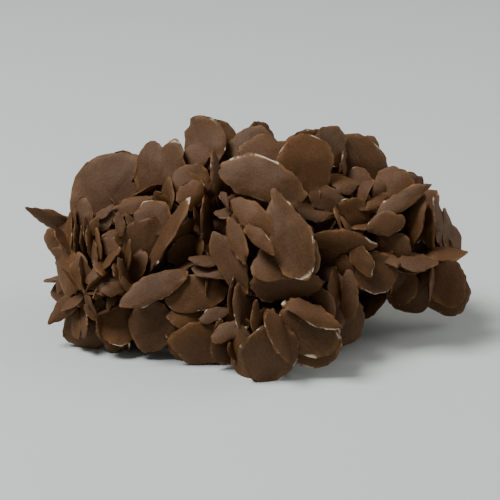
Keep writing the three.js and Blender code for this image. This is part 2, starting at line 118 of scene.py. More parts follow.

# %% [markdown]
# ## The list of blades
#
# No rule gives the look of a real rose, so each blade of the face is listed one by one. A row holds
# its place, then three turns: `turn` swings its face to the right, `tilt` lifts it and `roll` spins
# its length. Then come its half length and half width, and `point`, which narrows its far end into a
# tongue. The heart that all of them grow from is a number of swellings run together, each given by
# its middle (r, u, o) and its half length, half height and half depth.

# %% Blades and heart
BLADES = [
    # back row, from the big disc at the left to the knob at the right
    [-61, 24, -16, -12, 8, 60, 21, 20.5, 0.0],
    [-44.5, 36.5, -8, -25, 5, 96, 13.5, 9.8, 0.1],
    [-35.5, 38, -3, -38, 0, 82, 13.5, 10.2, 0.1],
    [-13.5, 48.5, -9, 15, 0, 112, 12.5, 9, 0.0],
    [-20.3, 49.5, -4, -10, 8, 98, 13, 10, 0.04],
    [-24, 42.5, -2, -10, 15, 20, 7.4, 6.4, 0.0],
    [0, 46, -4, -20, 12, 60, 12.5, 11.5, 0.1],
    [3, 48.5, -12, 20, -5, 100, 10.5, 9, 0.1],
    [8, 43.5, 4, 5, 25, -10, 13, 10, 0.1],
    [25, 47, -8, 15, -15, 28, 13, 8.5, 0.2],
    [25.5, 39, 15, 14, 2, -60, 14, 13.6, 0.04],
    [37, 47.5, 3, 30, 10, 40, 10.5, 9, 0.0],
    [51.5, 39.5, -7, 18, 3, -42, 15.5, 11, 0.0],
    [55, 48, -12, 0, 10, 80, 4.4, 4.2, 0.0],
    [65, 30.5, -4, -14, 12, -20, 10, 8, 0.0],
    [71.5, 28, -10, 25, -10, 20, 9, 8.5, 0.1],
    # the fine rosette at the upper right
    [49, 33, 4, -5, 20, 120, 6.4, 5.8, 0.0],
    [42.3, 40, 4, 82, 0, 90, 6, 5, 0.0],
    [41, 32.2, 8, 15, 42, -18, 8.4, 5, 0.1],
    [44, 28.6, 11, 10, 25, 22, 5.2, 3.4, 0.1],
    [51.5, 27, 11, -45, 12, 62, 8.5, 5, 0.4],
    [57.5, 27.5, 4, -15, 0, 60, 5, 5, 0.0],
    [58, 22.3, 12, 12, 38, 38, 7.7, 3.6, 0.3],
    [36.5, 23, 14, 12, 10, -26, 10.5, 6.6, 0.1],
    [30.5, 17.2, 15, 5, 30, -14, 12.8, 5.8, 0.3],
    [39.5, 15.5, 18, 70, 20, 62, 6.5, 4, 0.2],
    [44, 11, 17, 60, 30, -42, 5.5, 4, 0.1],
    [47.5, 16, 14, 16, -12, -50, 10, 7.6, 0.1],
    [70, 22.5, 17, -5, 15, 34, 15.5, 5.8, 0.7],
    [62.5, 12.6, 19, -5, -8, 12, 8.6, 5.6, 0.1],
    [76, 15, 12, -48, 10, 82, 13, 6.5, 0.2],
    [81.5, 10, 8, -62, 0, 97, 12, 6, 0.2],
    [86, 12, 0, 66, 5, 105, 13.5, 8, 0.2],
    [90, 8, -7, 68, 5, 108, 12, 8, 0.2],
    [92.5, 3, -11, 60, 0, 108, 8, 7, 0.1],
    # the spike at the right, and the shelf beside it
    [89.5, -2.3, 10, 10, 52, 5, 10.5, 6, 0.6],
    [76, -5.3, 18, 5, 45, -4, 9.5, 6.4, 0.25],
    [66.5, 0.5, 14, -25, -12, -45, 9.5, 8, 0.0],
    [64, -4, 17, -20, 50, -38, 8, 4, 0.3],
    # the lobe at the right, clear of the table
    [90.5, -15, -10, 12, 0, 100, 11.5, 9, 0.1],
    [89.5, -17, -16, 15, -5, 120, 13.5, 11.5, 0.0],
    [82.5, -14, -4, 72, 0, 65, 10, 6, 0.1],
    [73.5, -18.5, -14, -5, -15, -8, 13, 11, 0.0],
    [69, -15, -7, -25, -5, 80, 9.5, 7, 0.0],
    # front, right of the middle
    [57, -10.5, 18, 5, 3, 30, 10.8, 10.5, 0.0],
    [52, -4, 23, -15, 5, -65, 9.5, 6, 0.3],
    [43, 4, 22, 0, -34, -4, 16.5, 7.5, 0.4],
    [36, -3, 16, -10, -20, 20, 8, 6.8, 0.0],
    [42.5, -7, 18, -25, -10, 40, 5.8, 5.2, 0.0],
    [44.8, -20.5, 24, -22, 5, 92, 12.5, 5, 0.2],
    [45, -33, 12, 30, -15, 70, 11, 9, 0.0],
    [35, -24, 34, -20, 10, -55, 8.5, 4.4, 0.3],
    [38, -18, 22, 60, 0, 85, 11, 7, 0.1],
    # the middle: two broad plates with a fan of tongues beside them
    [5.8, 31.8, 28, -5, 14, -20, 22, 11.5, 0.15],
    [17.5, 7, 39, -2, 18, 106, 23, 11.5, 0.6],
    [14, -6, 38, -2, 20, 18, 14, 9, 0.1],
    [2, 14.5, 36, -12, 15, -38, 14, 6.4, 0.3],
    [-11.5, 22, 33, -30, 20, -50, 5.8, 2.4, 0.5],
    [-12, 16.2, 29, -10, 40, 185, 5.8, 3.6, 0.5],
    [-5.5, 4, 35, -35, 5, -64, 12.5, 5.4, 0.25],
    [4.6, 4.6, 43, -28, 8, -38, 11, 4.2, 0.3],
    [-8.8, -6, 31, -25, 0, -61, 16, 7.4, 0.15],
    [20, -3, 34, 0, 5, 60, 12, 11.5, 0.0],
    [16.5, -15.5, 35, 3, -28, 2, 17.5, 9, 0.1],
    # upper left of the middle, round the standing blades
    [-26.5, 31, 5, 0, 12, 40, 9.4, 8.4, 0.0],
    [-27, 24.5, 9, 10, 5, 60, 7, 6, 0.0],
    [-37, 25, 5, -58, 5, 92, 9, 6.5, 0.1],
    [-15.3, 33, 10, 74, 5, 88, 14, 8, 0.1],
    [-19.3, 11, 14, 70, 5, 95, 15, 8, 0.1],
    [-22, 1, 18, -65, 0, 95, 6, 4.5, 0.1],
    [-20, -4.5, 25, 10, 52, 170, 8, 4, 0.4],
    [-17, -9.5, 25, 0, 40, -18, 9.5, 5.4, 0.2],
    [-18.5, -16, 22, 72, 0, 108, 6, 5, 0.2],
    [-27, 0, 8, 20, -5, 20, 10, 8, 0.0],
    # the leaning blade and its neighbours
    [-39, 4.5, 14, -68, 20, 53, 26, 10, 0.2],
    [-47, 2, 12, 12, -12, 50, 12.5, 12, 0.0],
    [-44.5, 14, 11, -5, 15, 30, 9, 8.4, 0.0],
    [-50.5, 20.5, 3, 0, 25, 10, 13, 5, 0.1],
    [-43, -17, 25, -5, 20, 28, 17.5, 7, 0.15],
    # the left end, a crowd of thin standing crystals
    [-75, 16.5, 8, -22, 5, 97, 9, 4.8, 0.0],
    [-91.5, 14.5, 2, -10, -35, 152, 11, 5.5, 0.8],
    [-89, 4, -5, -38, -5, 160, 8.5, 6.5, 0.1],
    [-83, -7, 5, -48, 0, 100, 15, 9, 0.15],
    [-86.5, -15.5, -4, -30, 0, 80, 5.5, 3.2, 0.1],
    [-84.5, -27, 6, -15, 5, 226, 10.5, 6, 0.85],
    [-77, -8.5, 15, -15, 5, 95, 8.5, 5.5, 0.1],
    [-81.5, 9, 9, -70, 0, 92, 8.5, 4, 0.3],
    [-78.3, 5, 11, 65, 0, 95, 7.5, 4, 0.2],
    [-75, 4.5, 12, 70, 0, 98, 7, 4, 0.2],
    [-71.8, 4, 13, 70, 5, 95, 8, 4, 0.2],
    [-68.3, 2, 14, -72, 0, 93, 9, 4.5, 0.2],
    [-67, 13.5, 6, -10, 20, 40, 6.5, 5.5, 0.0],
    [-59, 12, 15, -25, 10, 97, 7, 3, 0.5],
    [-60.5, 5, 11, 0, 35, 0, 6.5, 5.5, 0.2],
    [-67, -6, 16, 60, 40, 44, 9, 5, 0.2],
    [-65, -13, 17, 0, 32, 15, 8.5, 7, 0.1],
    [-58, -11, 22, 55, 10, 106, 9, 4, 0.4],
    [-62, -17.5, 21, 10, 30, 10, 6, 4, 0.2],
    # lower left, standing on the table
    [-71, -25, 15, -10, 0, 80, 6.5, 5.5, 0.1],
    [-79, -31, 4, -62, 5, 112, 11, 6, 0.1],
    [-76, -32, 8, -66, 5, 112, 10.5, 6, 0.1],
    [-73, -34, 4, -12, -12, 30, 13, 10.5, 0.0],
    [-67.5, -31, 13, 72, 0, 80, 10, 6, 0.1],
    [-60, -34, 14, 8, 6, 88, 11, 9, 0.1],
    [-60, -37, 8, 5, -12, 10, 10, 9.6, 0.0],
    [-44.5, -34.5, 18, -8, -12, 75, 12.5, 11, 0.0],
    # lower front, left of the foot
    [-25, -20, 23, 0, 8, 8, 15.5, 9.5, 0.1],
    [-25.5, -31, 22, 8, 8, -5, 12.5, 6.5, 0.1],
    [-15, -29.5, 25, 0, 25, 25, 8, 4, 0.3],
    [-9, -36.8, 29, -5, 20, 28, 10.5, 4.6, 0.2],
    [-30, -40.5, 18, -12, -15, 60, 9.5, 8.5, 0.0],
    [-21, -42.5, 22, 0, -18, 0, 15, 10, 0.0],
    [-12, -44, 24, 28, -10, 90, 9, 7, 0.0],
    # the front foot
    [9, -47.5, 38, 4, -20, 75, 15.4, 13.8, 0.0],
    [-3, -46.5, 30, -35, -5, 92, 13, 8, 0.1],
    [-7, -45, 27, 65, 0, 92, 7, 6, 0.1],
    [13, -39.5, 43, 48, 0, -58, 16, 6.5, 0.3],
    [27, -37, 37, 0, -3, -40, 15, 12.6, 0.0],
    [29, -41, 31, 5, -8, 30, 14, 13, 0.0],
    [28.5, -30, 41, 5, 22, -27, 15, 6.4, 0.3],
    [3.5, -31, 40, 35, 5, -88, 9.5, 3.2, 0.5],
    [-4.5, -25, 37, 25, 5, -86, 10.5, 3.6, 0.4],
    [-7.5, -22, 33, 70, 0, 88, 9, 5, 0.1],
    # three upright plates behind, which the cluster also stands on
    [-50, -20, -27, 35, -22, 88, 15, 13, 0.0],
    [0, -17, -33, 5, -22, 95, 15, 12, 0.0],
    [34, -20, -27, -30, -22, 92, 15, 12, 0.0],
]

HEART = [
    [-60, -4, -20, 28, 25, 17],
    [-74, 2, -16, 14, 16, 12],
    [-46, -24, -8, 22, 16, 14],
    [-20, 0, -14, 34, 34, 22],
    [-22, 24, -20, 24, 18, 12],
    [-22, -30, 0, 19, 14, 12],
    [-47, 22, -22, 18, 14, 10],
    [16, -4, -6, 30, 32, 25],
    [8, 22, -4, 22, 16, 14],
    [20, 28, -15, 32, 17, 14],
    [12, -32, 10, 20, 17, 12],
    [48, 4, -14, 32, 23, 19],
    [66, 12, -12, 17, 13, 12],
    [74, 0, -18, 18, 14, 13],
    [-48, -8, -18, 32, 22, 18],
    [0, -11, -14, 50, 24, 22],
    [46, -6, -16, 34, 20, 18],
]
print(len(BLADES), "blades on a heart of", len(HEART), "swellings")

# %% [markdown]
# ## The blank
#
# A blade could be a squashed sphere, but a real one has a blunt rim less than a millimetre thick,
# rises steeply from it and is nearly flat in the middle. So the blank starts as a disc, and its face
# is inset again and again, a little higher each time, as a lathe would cut it. A Mirror modifier
# makes the other side. A taper to either side draws the ends in, from round to leaf-shaped, and a
# soft noise makes each outline its own. The blank has a radius and a half thickness of 1, and a copy
# is scaled to its own size later. It is cut into triangles here, because the union further on then
# gives clean flat facets that can be triangulated without a fault.
#
# Broad blades need a fine rim, small ones and those of the far side need less, and the roots that
# carry them are nearly hidden. So there are four sets of blanks.
#
# Two numbers travel with each blank into the finished stone: `rim` is 0 in the middle and 1 at the
# rim, and `tone` tells one blade from the next. The material reads both.

# %% Selection helpers
def only(piece):
    """Deselect everything, then select one object and make it active."""
    bpy.ops.object.select_all(action="DESELECT")
    piece.select_set(True)
    bpy.context.view_layer.objects.active = piece


def edit(piece, mode="FACE", chosen="SELECT"):
    """Go into edit mode on one object with everything selected, or nothing."""
    only(piece)
    bpy.ops.object.mode_set(mode="EDIT")
    bpy.ops.mesh.select_mode(type=mode)
    bpy.ops.mesh.select_all(action=chosen)


def done():
    """Leave edit mode."""
    bpy.ops.object.mode_set(mode="OBJECT")


def modify(piece, kind, **settings):
    """Add a modifier to an object, set it and apply it."""
    only(piece)
    modifier = piece.modifiers.new(kind.lower(), kind)
    for name, value in settings.items():
        setattr(modifier, name, value)
    bpy.ops.object.modifier_apply(modifier=modifier.name)


def triangles(piece):
    """How many triangles an object has."""
    return sum(len(face.vertices) - 2 for face in piece.data.polygons)


# %% Noise textures for displacement
def clouds(name, size, color=False, depth=1):
    """A soft noise texture with features of about the given size."""
    texture = bpy.data.textures.new(name, "CLOUDS")
    texture.noise_scale = size
    texture.noise_depth = depth
    texture.cloud_type = "COLOR" if color else "GRAYSCALE"
    return texture


# %% Model the blanks
BROAD_PROFILE = [(0.985, 0.13), (0.92, 0.3), (0.78, 0.54), (0.55, 0.8), (0.25, 0.97)]
SMALL_PROFILE = [(0.97, 0.17), (0.85, 0.43), (0.58, 0.79), (0.25, 0.97)]
ROOT_PROFILE = [(0.93, 0.3), (0.6, 0.78)]
OUTLINE_NOISE = clouds("outline", 0.8)
UNEVEN = 0.3
LEAF = 0.42
SEED_STEP = (3.7, 1.9, 0.6)
AXIS_STEP = 5


def blank(name, edges, profile, variant, leaf):
    """One lens of radius 1 and half thickness 1, uneven, and narrowed at both ends by leaf."""
    bpy.ops.mesh.primitive_circle_add(vertices=edges, radius=1, fill_type="NGON")
    piece = bpy.context.object
    piece.name = name
    edit(piece)
    radius, height = 1, 0
    for next_radius, next_height in profile:
        bpy.ops.mesh.inset(thickness=radius - next_radius, depth=next_height - height)
        radius, height = next_radius, next_height
    bpy.ops.mesh.poke()
    done()
    modify(piece, "MIRROR", use_axis=(False, False, True), use_clip=True)
    rim = piece.data.attributes.new("rim", "FLOAT", "POINT")
    rim.data.foreach_set("value", [vertex.co.xy.length for vertex in piece.data.vertices])
    for side in (1, -1):
        half = piece.vertex_groups.new(name="half")
        half.add([v.index for v in piece.data.vertices if v.co.x * side > 0.01], 1, "REPLACE")
        modify(
            piece, "SIMPLE_DEFORM", deform_method="TAPER", deform_axis="X",
            factor=-leaf * side, vertex_group="half",
        )
        piece.vertex_groups.clear()
    seed = bpy.data.objects.new(name + "_seed", None)
    seed.location = [step * variant for step in SEED_STEP]
    bpy.context.scene.collection.objects.link(seed)
    for axis in "XY":
        seed.location.z += AXIS_STEP
        bpy.context.view_layer.update()
        modify(
            piece, "DISPLACE", direction=axis, texture=OUTLINE_NOISE, texture_coords="OBJECT",
            texture_coords_object=seed, strength=UNEVEN, mid_level=0.5,
        )
    bpy.data.objects.remove(seed)
    modify(piece, "TRIANGULATE")
    return piece


BROAD = [blank(f"broad_{i}", 44, BROAD_PROFILE, i, LEAF * (i // 2) / 2) for i in range(6)]
SMALL = [blank(f"small_{i}", 22, SMALL_PROFILE, i + 9, LEAF * (i // 2 + 1) / 3) for i in range(6)]
PLAIN = [blank(f"plain_{i}", 30, SMALL_PROFILE, i + 15, LEAF * 0.3) for i in range(4)]
ROOTS = [blank(f"root_{i}", 16, ROOT_PROFILE, i + 20, LEAF) for i in range(2)]
print("a broad blank has", triangles(BROAD[0]), "triangles, a small one", triangles(SMALL[0]))

# %% [markdown]
# ## Placing the blades
#
# A copy of a blank is narrowed by a taper where its row asks for a tongue, scaled, turned and moved.
# A blade that stands clear of the heart is carried by an older one, which crosses behind it and runs
# down into the heart. On a real rose these are the dark blades seen in the gaps.

# %% Grow one blade
THICK_BASE = 0.9
THICK_GAIN = 0.1
LARGE = 9               # longer blades than this need a fine rim
ROUND_BELOW = 0.05      # blades with less point than this are round
LEAFY_FROM = 0.22       # and with more than this they are leaf-shaped
POINT_TAPER = 0.8
POINT_NARROWING = 0.25
GOLDEN_SHARE = 0.618    # steps of this share spread the tones evenly
stone = bpy.data.collections.new("growing")
bpy.context.scene.collection.children.link(stone)
grown = []


def grow(blanks, half_length, half_width, point, placing, thin=1.0):
    """Copy a blank with its own mesh, narrow it, size it and put it in its place."""
    number = len(grown)
    kind = 0 if point < ROUND_BELOW else 2 if point < LEAFY_FROM else 4
    piece = blanks[(kind + number % 2) % len(blanks)].copy()
    piece.data = piece.data.copy()
    piece.name = f"blade_{number}"
    stone.objects.link(piece)
    if point > 0:
        modify(
            piece, "SIMPLE_DEFORM", deform_method="TAPER", deform_axis="X",
            factor=-POINT_TAPER * point,
        )
    half = thin * (THICK_BASE + THICK_GAIN * (half_length + half_width)) / 2
    width = half_width * (1 - POINT_NARROWING * point)
    size = Matrix.Diagonal((half_length * MM, width * MM, half * MM, 1))
    piece.matrix_world = STAND @ placing @ size
    only(piece)
    bpy.ops.object.transform_apply(location=True, rotation=True, scale=True)
    tone = piece.data.attributes.new("tone", "FLOAT", "FACE")
    tone.data.foreach_set("value", [(GOLDEN_SHARE * number) % 1] * len(piece.data.polygons))
    grown.append(piece)


# %% Roots
ROOT_INTO = 0.75        # a root ends at this share of the way out from a swelling's middle
ROOT_WIDTH = 0.6
SHORTEST_ROOT = 6       # a blade nearer to the heart than this needs no root


def root_end(point):
    """Where in the heart a point's root should end, or None for a point inside it."""
    nearest = None
    for r, u, o, a, b, c in HEART:
        middle = Vector((r, u, o))
        away = point - middle
        share = Vector((away.x / a, away.y / b, away.z / c)).length
        if share < 1:
            return None
        end = middle + away * (ROOT_INTO / share)
        if nearest is None or (end - point).length < (nearest - point).length:
            nearest = end
    return nearest


def carry(start, turned, half_length):
    """Grow the older blade that crosses behind a blade and holds it."""
    end = root_end(start)
    if end is None or (end - start).length < SHORTEST_ROOT:
        return
    along = (end - start).normalized()
    length = turned @ Vector((1, 0, 0))
    across = (length - along * length.dot(along)).normalized()
    placing = Matrix((along, across, along.cross(across))).transposed().to_4x4()
    placing.translation = (start + end) / 2 * MM
    grow(ROOTS, (end - start).length / 2, ROOT_WIDTH * half_length, 0, placing)


# %% Grow the blades of the face
TWIN_FROM = 11.5        # only longer blades than this have a twin
TWIN_GAP = 1.7
TWIN_SLIP = 1.2
TWIN_LENGTH = 0.95
TWIN_WIDTH = 0.97
TWIN_THIN = 0.6


def place_row(row, thin=1.0):
    """Grow the blade of one row, its root, and behind every second broad one a parallel twin."""
    r, u, o, turn, tilt, roll, half_length, half_width, point = row
    turned = (
        Matrix.Rotation(math.radians(turn), 3, "Y")
        @ Matrix.Rotation(math.radians(-tilt), 3, "X")
        @ Matrix.Rotation(math.radians(roll), 3, "Z")
    )
    near = 1 - o * DRAW_IN
    middle = Vector((r * near, u * near, o))
    blanks = BROAD if half_length > LARGE else SMALL
    place = Matrix.Translation(middle * MM) @ turned.to_4x4()
    grow(blanks, half_length * near, half_width * near, point, place, thin)
    if half_length > TWIN_FROM and len(grown) % 2:
        k = len(grown)
        shift = Vector((TWIN_SLIP * math.cos(k), TWIN_SLIP * math.sin(k), -TWIN_GAP))
        twin = Matrix.Translation((middle + turned @ shift) * MM) @ turned.to_4x4()
        twin_length, twin_width = half_length * near * TWIN_LENGTH, half_width * near * TWIN_WIDTH
        grow(BROAD, twin_length, twin_width, point, twin, TWIN_THIN)
    carry(middle, turned, half_length)


for row in BLADES:
    place_row(row)
print(len(grown), "blades on the face, with their roots and twins")

# %% [markdown]
# ## Slivers
#
# The left end, the rosette and the foot are crowded with thin splinters, too small and too many for
# the plain solid. They are grown here only, from rows of the same kind, and thinner than the rest.

# %% Grow the slivers
SLIVER_THIN = 0.65
SLIVERS = [
    # the left end
    [-84, 10, 3, -30, 10, 150, 9, 6, 0.3],
    [-79.5, 14, 9, -60, 0, 95, 6, 3, 0.4],
    [-73.5, 9, 13, 62, 5, 88, 6, 3, 0.3],
    [-70, -1, 16, -55, 5, 100, 6, 3, 0.3],
    [-63.5, 1, 15, -20, 10, 120, 6, 3.5, 0.3],
    [-64, -4, 19, -60, 30, 50, 8, 4, 0.2],
    [-60, -8, 20, 60, 25, 30, 8, 4, 0.2],
    [-70, -10, 18, -30, 30, 60, 6, 4, 0.3],
    [-74, -14, 15, -20, 20, 110, 7, 4, 0.3],
    [-67, -18, 18, 55, 0, 30, 7, 3.5, 0.2],
    [-80, -12, 9, -40, 0, 100, 7, 4, 0.2],
    [-63, -23, 19, 30, 20, 70, 5, 2.5, 0.4],
    [-73, -20, 16, -30, 10, 80, 5, 3, 0.3],
    [-69, -27, 16, 40, 0, 95, 6, 3, 0.3],
    [-86, -2, 3, -40, -10, 140, 6, 4, 0.3],
    [-56, -16, 24, 40, 20, 120, 5, 2.5, 0.4],
    [-56, -4, 18, -70, 0, 75, 9, 5, 0.2],
    [-53, -8, 14, -20, 12, 50, 9, 7, 0.1],
    [-58, 3, 12, 35, 10, 70, 8, 5, 0.1],
    [-54, 12, 14, 30, 20, 110, 5, 2.6, 0.4],
    [-66, 18, 7, -20, 30, 50, 6, 3, 0.3],
    [-70, 11, 11, 20, 10, 70, 5, 3, 0.3],
    # the ridges that run together at the left end, seen on edge
    [-69.6, -14.4, 18, 57, -47, 64, 7, 4.5, 0.2],
    [-66.3, -18.8, 19, 9, 66, -10, 8.5, 4, 0.2],
    [-80, -23, 11, -56, 44, 65, 8.5, 5, 0.2],
    [-71.8, -24.7, 17.5, -64, -21, -80, 7.5, 4, 0.2],
    [-79.9, -13.8, 12.5, 55, 45, -63, 7.5, 5, 0.2],
    [-84.5, 4, 6.5, 58, 34, -70, 8, 5, 0.2],
    [-75.5, -10, 17, 66, 7, 93, 8, 5, 0.2],
    [-64, -27, 17, -38, 59, 42, 7, 4, 0.2],
    # the rosette
    [53, 20, 13, 20, 45, -30, 6, 3.5, 0.3],
    # the foot
    [20, -28, 38, -40, 10, -60, 7, 3, 0.4],
    [-14, -36, 27, 30, 0, 70, 5, 3, 0.3],
    [41, -30, 22, 30, 20, 60, 6, 4, 0.2],
    [-33, -36, 20, -10, 0, 60, 7, 5, 0.0],
]
for row in SLIVERS:
    place_row(row, SLIVER_THIN)
print(len(grown), "with the slivers")

# %% [markdown]
# ## The far side
#
# The back, the underside and the gaps of the face carry blades of the same kind. Placing these by
# hand would take long and show little, so a rule spreads them evenly over each swelling, with the
# golden angle of a sunflower head, and leans each its own way by a sine of its number. Broad ones go
# first, then small ones between them, and low ones at the ends.
#
# A rule is a small table: the distance between blades, their half length, and the share of it that
# the middle stands off the heart. `ends`, `top` and `corner` limit which way a blade may point, so
# that none stands out past the outline. Nor does any reach the table or hang under the lobe at the
# right.

# %% Set blades by rule
END_LIMIT = 0.72
TOP_LIMIT = 0.8
MIDDLE = {"ends": (0, END_LIMIT), "top": TOP_LIMIT, "corner": 2}
FAR = {**MIDDLE, "spacing": 19, "size": 16, "stand": 0.4}
FAR_FILL = {**MIDDLE, "spacing": 10.3, "size": 11.5, "stand": 0.35, "top": 0.97, "corner": 1.35}
END_FILL = {"ends": (0.6, 1), "spacing": 8.5, "size": 9, "stand": 0.0, "top": 0.6, "corner": 1.3}
NEAR = {**MIDDLE, "spacing": 12, "size": 11.5, "stand": 0.15}
CLEARANCE = 9           # how high above the table a blade has to stand
UNDERCUT_FROM = 45      # right of here it has to stand higher,
UNDERCUT_RISE = 0.7     # by this much for each millimetre
SIDE_MARGIN = 0.1
GOLDEN_ANGLE = 2.4
END_SHRINK = 0.4
RULE_POINT = 0.1
TURN_STEP = 2.2         # these steps keep the sines of neighbours apart
LEAN_STEP = 1.9
LENGTH_STEP = 2.7
WIDTH_STEP = 3.1
RULE_LEAN = 0.6
LENGTH_SWING = 0.22
RULE_WIDTH = 0.82
WIDTH_SWING = 0.1


def buried(point, number):
    """True where a point lies inside a swelling other than the numbered one."""
    return any(
        i != number
        and ((point.x - r) / a) ** 2 + ((point.y - u) / b) ** 2 + ((point.z - o) / c) ** 2 < 1
        for i, (r, u, o, a, b, c) in enumerate(HEART)
    )


def petal(root, out, rule, k):
    """Grow one blade standing out of the heart at its root, leaning by its number k."""
    side = Vector((math.cos(TURN_STEP * k), math.sin(TURN_STEP * k), 0)).cross(out).normalized()
    flat = (side + out * RULE_LEAN * math.sin(LEAN_STEP * k)).normalized()
    along = (out - flat * out.dot(flat)).normalized()
    across = flat.cross(along)
    shorter = 1 - END_SHRINK * max(abs(out.x), out.y, 0)
    half = rule["size"] * shorter * (1 + LENGTH_SWING * math.sin(LENGTH_STEP * k + 1))
    width = half * (RULE_WIDTH + WIDTH_SWING * math.sin(WIDTH_STEP * k))
    middle = (root + out * rule["stand"] * half) * MM
    placing = Matrix((along, across, flat)).transposed().to_4x4()
    placing.translation = middle
    blanks = PLAIN if half > LARGE + 1 else SMALL
    grow(blanks, half, width, RULE_POINT, placing)


def set_by_rule(rule, facing):
    """Spread blades over one side of the heart: facing is -1 for the far side, 1 for the near."""
    count = 0
    for number, (r, u, o, a, b, c) in enumerate(HEART):
        size = Vector((a, b, c))
        steps = round(4 * math.pi * (a * b + b * c + c * a) / 3 / rule["spacing"] ** 2)
        for i in range(steps):
            level = 1 - (2 * i + 1) / steps
            around = GOLDEN_ANGLE * i + number
            ring = math.sqrt(1 - level ** 2)
            way = Vector((ring * math.cos(around), level, ring * math.sin(around)))
            root = way * size + Vector((r, u, o))
            out = Vector((way.x / a, way.y / b, way.z / c)).normalized()
            lean = math.radians(FACE_LEAN)
            height = GROUND + root.y * math.sin(lean) + root.z * math.cos(lean)
            lowest = CLEARANCE + UNDERCUT_RISE * max(0, root.x - UNDERCUT_FROM)
            aside = abs(out.x)
            inner, outer = rule["ends"]
            past_outline = aside > outer or aside + out.y > rule["corner"] or out.y > rule["top"]
            other_side = aside < inner or out.z * facing < SIDE_MARGIN
            if past_outline or other_side or height < lowest or buried(root, number):
                continue
            count += 1
            petal(root, out, rule, count)
    return count


print(set_by_rule(FAR, -1), "blades on the far side")
print(set_by_rule(FAR_FILL, -1), "small blades between those of the far side")
print(set_by_rule(END_FILL, -1), "low ones at the ends")
print(set_by_rule(NEAR, 1), "small blades between those of the face")

# %% [markdown]
# ## The heart
#
# Between the blades a little of the massive middle shows. Each swelling is an icosphere of its own
# size. The waves and the sandy bump further on roughen it with the rest.

# %% Model the heart
HEART_DETAIL = 3
for r, u, o, a, b, c in HEART:
    bpy.ops.mesh.primitive_ico_sphere_add(subdivisions=HEART_DETAIL, radius=1)
    swelling = bpy.context.object
    swelling.matrix_world = STAND @ Matrix.Translation(Vector((r, u, o)) * MM) @ Matrix.Diagonal(
        (a * MM, b * MM, c * MM, 1)
    )
    bpy.ops.object.transform_apply(location=True, rotation=True, scale=True)
    swelling.users_collection[0].objects.unlink(swelling)
    stone.objects.link(swelling)
    grown.append(swelling)
print(len(grown), "bodies to join,", sum(triangles(piece) for piece in grown), "triangles")

# %% [markdown]
# ## Growing together
#
# The crystals run through one another, so they are joined by one Boolean union of the whole
# collection. What was inside is gone, and the creases where blades meet are sharp. A union can leave
# small sealed pockets, which no one sees: the outer skin is kept, and the rest is deleted.

# %% Join everything
rose = grown.pop()
stone.objects.unlink(rose)
bpy.context.scene.collection.objects.link(rose)
rose.name = "sand_rose_stone"
modify(
    rose, "BOOLEAN", operation="UNION", solver="MANIFOLD", operand_type="COLLECTION",
    collection=stone,
)
for piece in list(stone.objects) + BROAD + SMALL + PLAIN + ROOTS:
    bpy.data.meshes.remove(piece.data)
bpy.data.collections.remove(stone)
print("joined:", triangles(rose), "triangles")


# %% Keep the outer skin
def keep_outer_skin(piece):
    """Delete every part of a mesh that isn't connected to its outermost vertex."""
    outermost = max(range(len(piece.data.vertices)), key=lambda i: piece.data.vertices[i].co.x)
    edit(piece, "VERT", "DESELECT")
    done()
    piece.data.vertices[outermost].select = True
    bpy.ops.object.mode_set(mode="EDIT")
    bpy.ops.mesh.select_linked()
    bpy.ops.mesh.select_all(action="INVERT")
    bpy.ops.mesh.delete(type="VERT")
    done()


keep_outer_skin(rose)
print("outer skin:", triangles(rose), "triangles")

# %% [markdown]
# ## Waves and chips
#
# Natural blades are never flat or evenly round. One soft coloured noise moves every point a little
# along all three axes, so that blades wave and outlines wobble. A finer one pushes only the rims in
# and out, which makes the small chips.

# %% Wave and chip
WAVES = clouds("waves", 0.02, color=True, depth=2)
WAVE_HEIGHT = 0.0045
CHIPS = clouds("chips", 0.0028, depth=2)
CHIP_DEPTH = 0.0022
CHIPPED_FROM = 0.9
CHIPPED_RAMP = 0.08
modify(rose, "DISPLACE", direction="RGB_TO_XYZ", texture=WAVES, strength=WAVE_HEIGHT, mid_level=0.5)
rims = rose.vertex_groups.new(name="rims")
for index, value in enumerate(rose.data.attributes["rim"].data):
    if value.value > CHIPPED_FROM:
        rims.add([index], min(1, (value.value - CHIPPED_FROM) / CHIPPED_RAMP), "REPLACE")
modify(
    rose, "DISPLACE", direction="NORMAL", texture=CHIPS, strength=CHIP_DEPTH, mid_level=0.6,
    vertex_group="rims",
)
rose.vertex_groups.clear()

# %% [markdown]
# ## Knocked rims
#
# Where a rim has been knocked, fresh cream-white crystal shows. The places are lines given as their
# two ends (r, u) and how far the damage reaches, all in mm on the face of the stone. Every point of
# a rim near such a line gets the attribute `knocked`.

